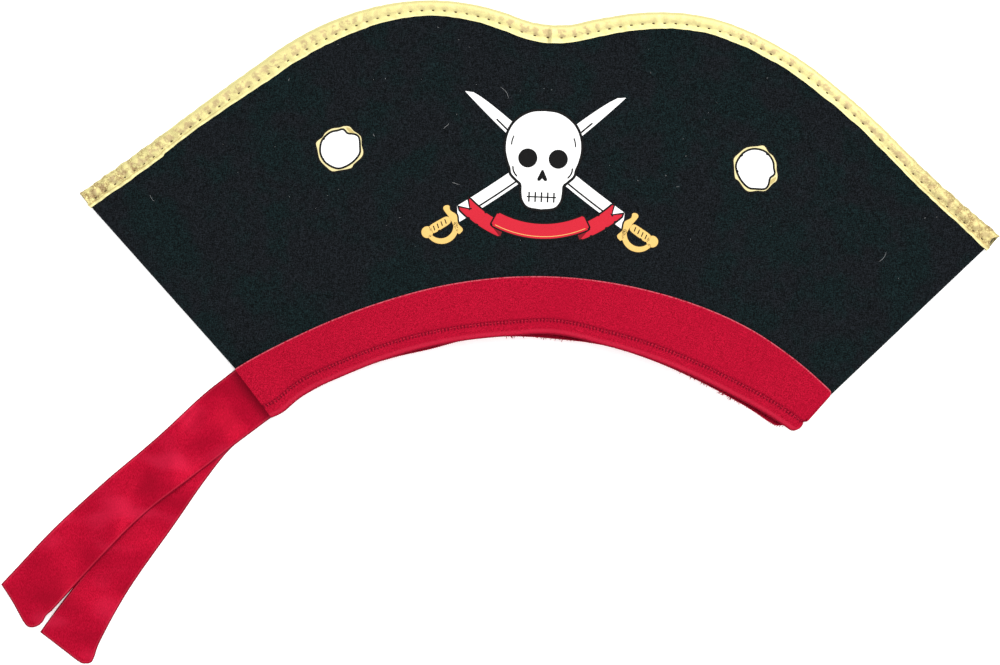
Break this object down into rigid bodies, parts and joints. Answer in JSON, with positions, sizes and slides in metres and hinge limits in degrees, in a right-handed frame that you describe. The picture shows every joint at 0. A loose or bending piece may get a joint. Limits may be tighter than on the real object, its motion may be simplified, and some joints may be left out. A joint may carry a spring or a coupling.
{
  "type": "costume pirate hat",
  "caption": "Child's pirate hat laid flat: black felt panels with a double-humped top bound in gold tape, a red mouth band, two red tails, and a printed skull with crossed cutlasses.",
  "frame": {"origin": "on the centre line, level with the two tips, on the back face that the hat lies on", "axes": "+X from the left tip to the right tip as seen from the front, +Y from the mouth towards the crown, +Z out of the front"},
  "size_m": [0.4902, 0.3348, 0.018],
  "materials": {
    "black_felt": "matte brushed felt with a fine nap",
    "gold_tape": "metallic gold bias tape, crumpled",
    "tape_thread": "brown sewing thread",
    "black_thread": "black sewing thread",
    "red_crepe": "matte woven crepe",
    "red_satin": "soft satin weave with a low sheen",
    "red_thread": "red sewing thread",
    "overlock_thread": "dark red overlock thread",
    "white_ink": "white screen print",
    "gold_ink": "gold-brown screen print",
    "red_ink": "red screen print",
    "black_ink": "black screen print"
  },
  "bodies": {
    "root": {"back_panel": "black_felt", "back_band": "red_crepe", "back_band_overlock": "overlock_thread", "gold_binding": "gold_tape", "binding_stitches": "tape_thread", "front_panel_top": "black_felt", "front_panel_sides": "black_felt", "side_seam_left": "black_thread", "side_seam_right": "black_thread", "front_band_ends": "red_crepe", "front_band_end_stitches": "red_thread", "band_end_fold": "red_crepe", "tail_roots": "red_satin", "tail_tack_stitches": "red_thread", "left_hole_ring": "gold_ink", "left_hole_middle": "white_ink", "right_hole_ring": "gold_ink", "right_hole_middle": "white_ink"},
    "front": {"front_panel": "black_felt", "front_band": "red_crepe", "front_band_stitches": "red_thread", "emblem_blades": "white_ink", "emblem_hilts": "gold_ink", "emblem_sash": "red_ink", "emblem_skull": "white_ink", "emblem_face": "black_ink"},
    "lower_tail": {"tail_under": "red_satin"},
    "upper_tail": {"tail_over": "red_satin"}
  },
  "joints": [
    {"name": "mouth_opening", "type": "hinge", "parent": "root", "child": "front", "pos_m": [0, 0.084, 0.0038], "axis": [-1, 0, 0], "range_deg": [0, 20]},
    {"name": "lower_tail_lift", "type": "hinge", "parent": "root", "child": "lower_tail", "pos_m": [-0.14251, -0.0964, 0.0023], "axis": [-0.6361, 0.7716, 0], "range_deg": [0, 60]},
    {"name": "upper_tail_lift", "type": "hinge", "parent": "lower_tail", "child": "upper_tail", "pos_m": [-0.14251, -0.0964, 0.0023], "axis": [-0.6361, 0.7716, 0], "range_deg": [0, 60]}
  ]
}
